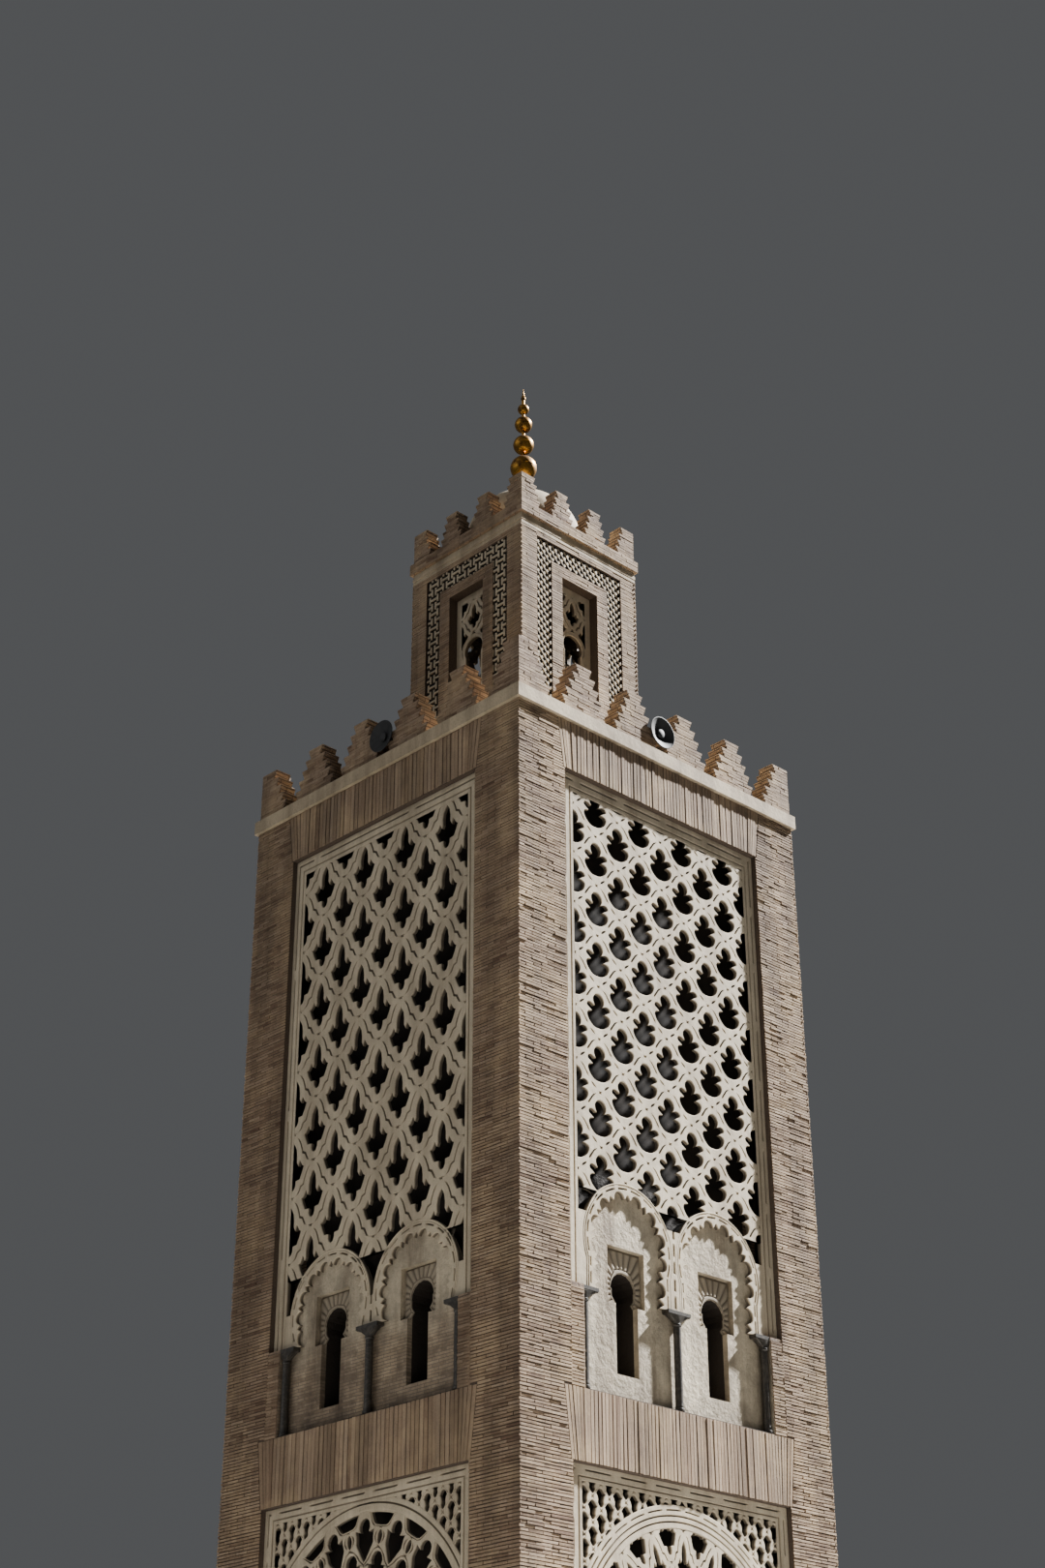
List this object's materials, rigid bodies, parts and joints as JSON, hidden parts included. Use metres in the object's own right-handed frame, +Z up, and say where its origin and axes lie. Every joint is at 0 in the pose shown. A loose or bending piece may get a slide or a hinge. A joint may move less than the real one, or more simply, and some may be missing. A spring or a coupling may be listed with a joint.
{
  "type": "minaret",
  "caption": "Square brick minaret with recessed lattice screens over twin lobed arches, saw-tooth merlons, a small domed lantern and a ball finial.",
  "frame": {"origin": "centre of the tower's plan at ground level", "axes": "+Z up; -Y out of the front face, +X out of the right face"},
  "size_m": [4.544, 4.544, 21.03],
  "materials": {
    "brick": "matte",
    "plaster": "matte",
    "marble": "satin",
    "gilt_metal": "satin",
    "painted_metal": "matte"
  },
  "bodies": {
    "root": {"back_left_pier": "brick", "back_lower_screen": "plaster", "back_lower_wall": "brick", "back_parapet": "brick", "back_upper_screen": "plaster", "back_upper_wall": "brick", "back_window_columns": "marble", "back_window_wall": "plaster", "dome": "plaster", "finial": "gilt_metal", "front_loudspeaker": "painted_metal", "front_lower_screen": "plaster", "front_lower_wall": "brick", "front_parapet": "brick", "front_right_pier": "brick", "front_upper_screen": "plaster", "front_upper_wall": "brick", "front_window_columns": "marble", "front_window_wall": "plaster", "lantern_back_parapet": "brick", "lantern_back_screen": "plaster", "lantern_back_wall": "brick", "lantern_front_parapet": "brick", "lantern_front_screen": "plaster", "lantern_front_wall": "brick", "lantern_left_parapet": "brick", "lantern_left_screen": "plaster", "lantern_left_wall": "brick", "lantern_right_parapet": "brick", "lantern_right_screen": "plaster", "lantern_right_wall": "brick", "lantern_roof": "brick", "left_front_pier": "brick", "left_lower_screen": "plaster", "left_lower_wall": "brick", "left_parapet": "brick", "left_upper_screen": "plaster", "left_upper_wall": "brick", "left_window_columns": "marble", "left_window_wall": "plaster", "right_back_pier": "brick", "right_loudspeaker": "painted_metal", "right_lower_screen": "plaster", "right_lower_wall": "brick", "right_parapet": "brick", "right_upper_screen": "plaster", "right_upper_wall": "brick", "right_window_columns": "marble", "right_window_wall": "plaster", "terrace_slab": "plaster", "upper_floor": "plaster"}
  },
  "joints": []
}
